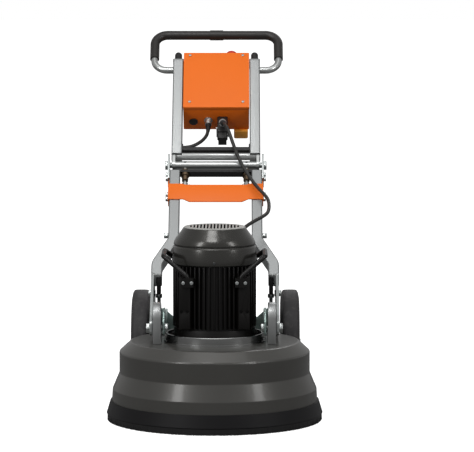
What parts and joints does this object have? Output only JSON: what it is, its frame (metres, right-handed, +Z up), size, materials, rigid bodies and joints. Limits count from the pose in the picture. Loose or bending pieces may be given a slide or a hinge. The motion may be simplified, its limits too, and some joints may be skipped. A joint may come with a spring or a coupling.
{
  "type": "planetary floor grinder",
  "caption": "Walk-behind planetary floor grinder: round shrouded grinding head with vertical motor, two-wheeled frame, folding inclined mast with control box and handlebar.",
  "frame": {"origin": "floor level, under the middle of the machine's bounding box", "axes": "+Z up, front (grinding head) towards -Y, handlebar towards +Y, +X across"},
  "size_m": [0.5799, 1.1557, 1.0224],
  "materials": {
    "powder_dark": "satin dark grey paint, glossy lid",
    "rubber_black": "matt black rubber",
    "bristle_black": "dense black bristles",
    "steel_bright": "bright machined steel",
    "steel_dark": "dark machined steel",
    "motor_black": "satin black paint on cast fins",
    "fan_grey": "satin dark grey paint",
    "copper_core": "lacquered copper and steel laminations",
    "plastic_black": "matt black plastic",
    "zinc_plate": "bright zinc plate",
    "tube_silver": "satin silver tube",
    "cast_silver": "satin cast lug",
    "orange_paint": "semi-gloss orange paint",
    "tyre_dark": "dark grey solid tyre",
    "hub_grey": "grey painted rim",
    "grip_foam": "dark foam rubber",
    "brass_body": "yellow brass",
    "diamond_segment": "sintered metal segment",
    "belt_rubber": "ribbed rubber belt",
    "button_red": "red plastic",
    "button_green": "green plastic",
    "inlet_amber": "amber plastic",
    "cable_black": "satin black cable sheath"
  },
  "bodies": {
    "head": {"shroud": "powder_dark", "skirt_band": "rubber_black", "brush_strip": "bristle_black", "motor_collar": "steel_bright", "dust_port": "steel_bright", "base_plate": "steel_dark", "head_bearings": "steel_bright", "motor_housing": "motor_black", "stator": "copper_core", "fan_cover": "fan_grey", "terminal_box": "motor_black", "lift_handles": "motor_black", "pivot_lugs": "cast_silver", "head_bolts": "zinc_plate", "motor_cable_lower": "cable_black"},
    "motor_rotor": {"rotor": "steel_dark", "cooling_fan": "plastic_black", "drive_pulley": "steel_dark"},
    "carrier": {"carrier_drum": "steel_dark", "spindle_bearings": "steel_bright", "drive_belts": "belt_rubber"},
    "satellite_1_set": {"satellite_1": "steel_dark", "diamond_tools_1": "diamond_segment"},
    "satellite_2_set": {"satellite_2": "steel_dark", "diamond_tools_2": "diamond_segment"},
    "satellite_3_set": {"satellite_3": "steel_dark", "diamond_tools_3": "diamond_segment"},
    "frame": {"lower_mast_tubes": "tube_silver", "side_plates": "zinc_plate", "subframe": "zinc_plate", "wheel_axle": "zinc_plate", "front_crossbar": "orange_paint", "pivot_bracket": "tube_silver", "plunger_bodies": "brass_body", "frame_bolts": "zinc_plate", "rubber_buffers": "rubber_black"},
    "wheel_left": {"tyre_left": "tyre_dark", "wheel_hub_left": "hub_grey"},
    "wheel_right": {"tyre_right": "tyre_dark", "wheel_hub_right": "hub_grey"},
    "plunger_left": {"lock_plunger_left": "zinc_plate"},
    "plunger_right": {"lock_plunger_right": "zinc_plate"},
    "handle": {"upper_mast": "tube_silver", "bump_stops": "rubber_black", "pivot_tube": "tube_silver", "handlebar": "tube_silver", "handle_grips": "grip_foam", "control_box": "orange_paint", "box_cover": "orange_paint", "inverter": "plastic_black", "box_fittings": "zinc_plate", "cable_connector": "plastic_black", "power_inlet": "inlet_amber", "motor_cable_upper": "cable_black", "control_cable": "cable_black"},
    "estop": {"estop_button": "button_red"},
    "start": {"start_button": "button_green"},
    "stop": {"stop_button": "button_red"},
    "knob": {"speed_knob": "plastic_black"},
    "lever": {"connector_lever": "zinc_plate"}
  },
  "joints": [
    {"name": "frame_pitch", "type": "hinge", "parent": "head", "child": "frame", "pos_m": [0, -0.329, 0.251], "axis": [1, 0, 0], "range_deg": [0, 25], "deforming": ["motor_cable_lower"]},
    {"name": "handle_fold", "type": "hinge", "parent": "frame", "child": "handle", "pos_m": [0, 0.20454, 0.64726], "axis": [1, 0, 0], "range_deg": [-30, 110], "deforming": ["motor_cable_upper"]},
    {"name": "wheel_left_spin", "type": "hinge", "parent": "frame", "child": "wheel_left", "pos_m": [-0.212, 0.074, 0.1535], "axis": [1, 0, 0], "continuous": true},
    {"name": "wheel_right_spin", "type": "hinge", "parent": "frame", "child": "wheel_right", "pos_m": [0.212, 0.074, 0.1535], "axis": [1, 0, 0], "continuous": true},
    {"name": "lock_left", "type": "slide", "parent": "frame", "child": "plunger_left", "axis": [0, 0.7071, 0.7071], "range_m": [0, 0.009]},
    {"name": "lock_right", "type": "slide", "parent": "frame", "child": "plunger_right", "axis": [0, 0.7071, 0.7071], "range_m": [0, 0.009]},
    {"name": "carrier_spin", "type": "hinge", "parent": "head", "child": "carrier", "pos_m": [0, -0.286, 0.1], "axis": [0, 0, 1], "continuous": true},
    {"name": "rotor_spin", "type": "hinge", "parent": "head", "child": "motor_rotor", "pos_m": [0, -0.286, 0.3], "axis": [0, 0, 1], "continuous": true},
    {"name": "satellite_1_spin", "type": "hinge", "parent": "carrier", "child": "satellite_1_set", "pos_m": [0, -0.146, 0.1], "axis": [0, 0, 1], "continuous": true},
    {"name": "satellite_2_spin", "type": "hinge", "parent": "carrier", "child": "satellite_2_set", "pos_m": [-0.12124, -0.356, 0.1], "axis": [0, 0, 1], "continuous": true},
    {"name": "satellite_3_spin", "type": "hinge", "parent": "carrier", "child": "satellite_3_set", "pos_m": [0.12124, -0.356, 0.1], "axis": [0, 0, 1], "continuous": true},
    {"name": "estop_press", "type": "slide", "parent": "handle", "child": "estop", "axis": [0, -0.7071, -0.7071], "range_m": [0, 0.006], "stiffness_N_per_m": 1200, "springref_m": -0.003},
    {"name": "start_press", "type": "slide", "parent": "handle", "child": "start", "axis": [0, -0.7071, -0.7071], "range_m": [0, 0.0025], "stiffness_N_per_m": 1200, "springref_m": -0.001},
    {"name": "stop_press", "type": "slide", "parent": "handle", "child": "stop", "axis": [0, -0.7071, -0.7071], "range_m": [0, 0.0025], "stiffness_N_per_m": 1200, "springref_m": -0.001},
    {"name": "speed_turn", "type": "hinge", "parent": "handle", "child": "knob", "pos_m": [-0.044, 0.51567, 0.92444], "axis": [0, 0.7071, 0.7071], "range_deg": [0, 270]},
    {"name": "connector_lock", "type": "hinge", "parent": "handle", "child": "lever", "pos_m": [0.018, 0.3601, 0.74342], "axis": [1, 0, 0], "range_deg": [-50, 0]}
  ],
  "couplings": [
    {"joint": "rotor_spin", "follows": "carrier_spin", "ratio": -3.326},
    {"joint": "satellite_1_spin", "follows": "carrier_spin", "ratio": -2.5179},
    {"joint": "satellite_2_spin", "follows": "carrier_spin", "ratio": -2.5179},
    {"joint": "satellite_3_spin", "follows": "carrier_spin", "ratio": -2.5179}
  ]
}
